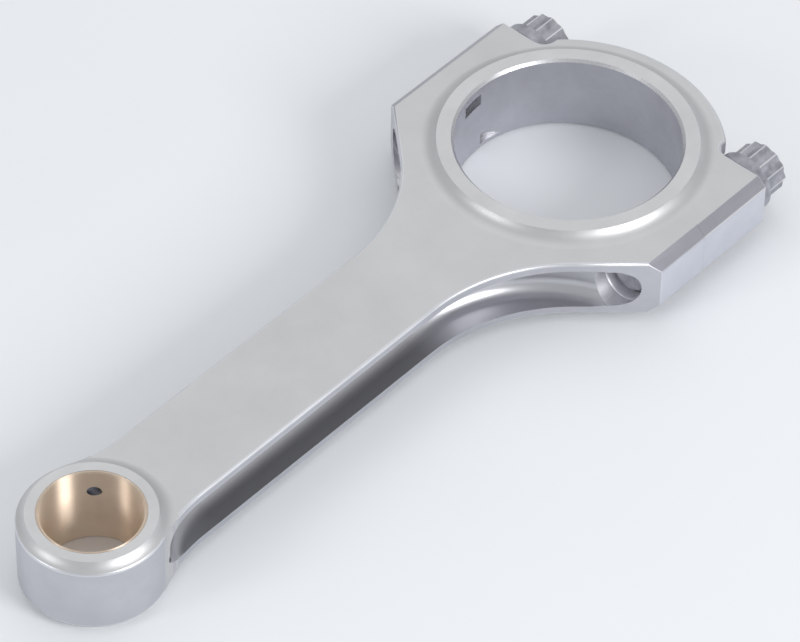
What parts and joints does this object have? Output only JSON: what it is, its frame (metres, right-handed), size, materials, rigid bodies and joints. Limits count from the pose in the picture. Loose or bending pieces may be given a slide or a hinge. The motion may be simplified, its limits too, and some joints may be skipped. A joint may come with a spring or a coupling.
{
  "type": "connecting rod",
  "caption": "Steel H-beam connecting rod with a bolted bearing cap, flanged double-hexagon cap bolts, dowel sleeves and a bronze pin bush.",
  "frame": {"origin": "centre of the big-end bore at mid width, on the parting plane", "axes": "+X from the big end to the small end, +Z along both bores; the bearing cap is on the -X side"},
  "size_m": [0.2035, 0.079, 0.0198],
  "materials": {
    "blasted_steel": "satin, shot blasted; bores ground and honed",
    "bronze": "honed",
    "bolt_steel": "dark oiled",
    "sleeve_steel": "ground"
  },
  "bodies": {
    "rod": {"rod_body": "blasted_steel", "pin_bush": "bronze", "alignment_sleeve_near": "sleeve_steel", "alignment_sleeve_far": "sleeve_steel"},
    "cap": {"bearing_cap": "blasted_steel"},
    "bolt_near": {"cap_bolt_near": "bolt_steel"},
    "bolt_far": {"cap_bolt_far": "bolt_steel"}
  },
  "joints": [
    {"name": "cap_pull", "type": "slide", "parent": "rod", "child": "cap", "axis": [-1, 0, 0], "range_m": [0, 0.06]},
    {"name": "bolt_near_out", "type": "slide", "parent": "cap", "child": "bolt_near", "axis": [-1, 0, 0], "range_m": [0, 0.05]},
    {"name": "bolt_far_out", "type": "slide", "parent": "cap", "child": "bolt_far", "axis": [-1, 0, 0], "range_m": [0, 0.05]}
  ]
}
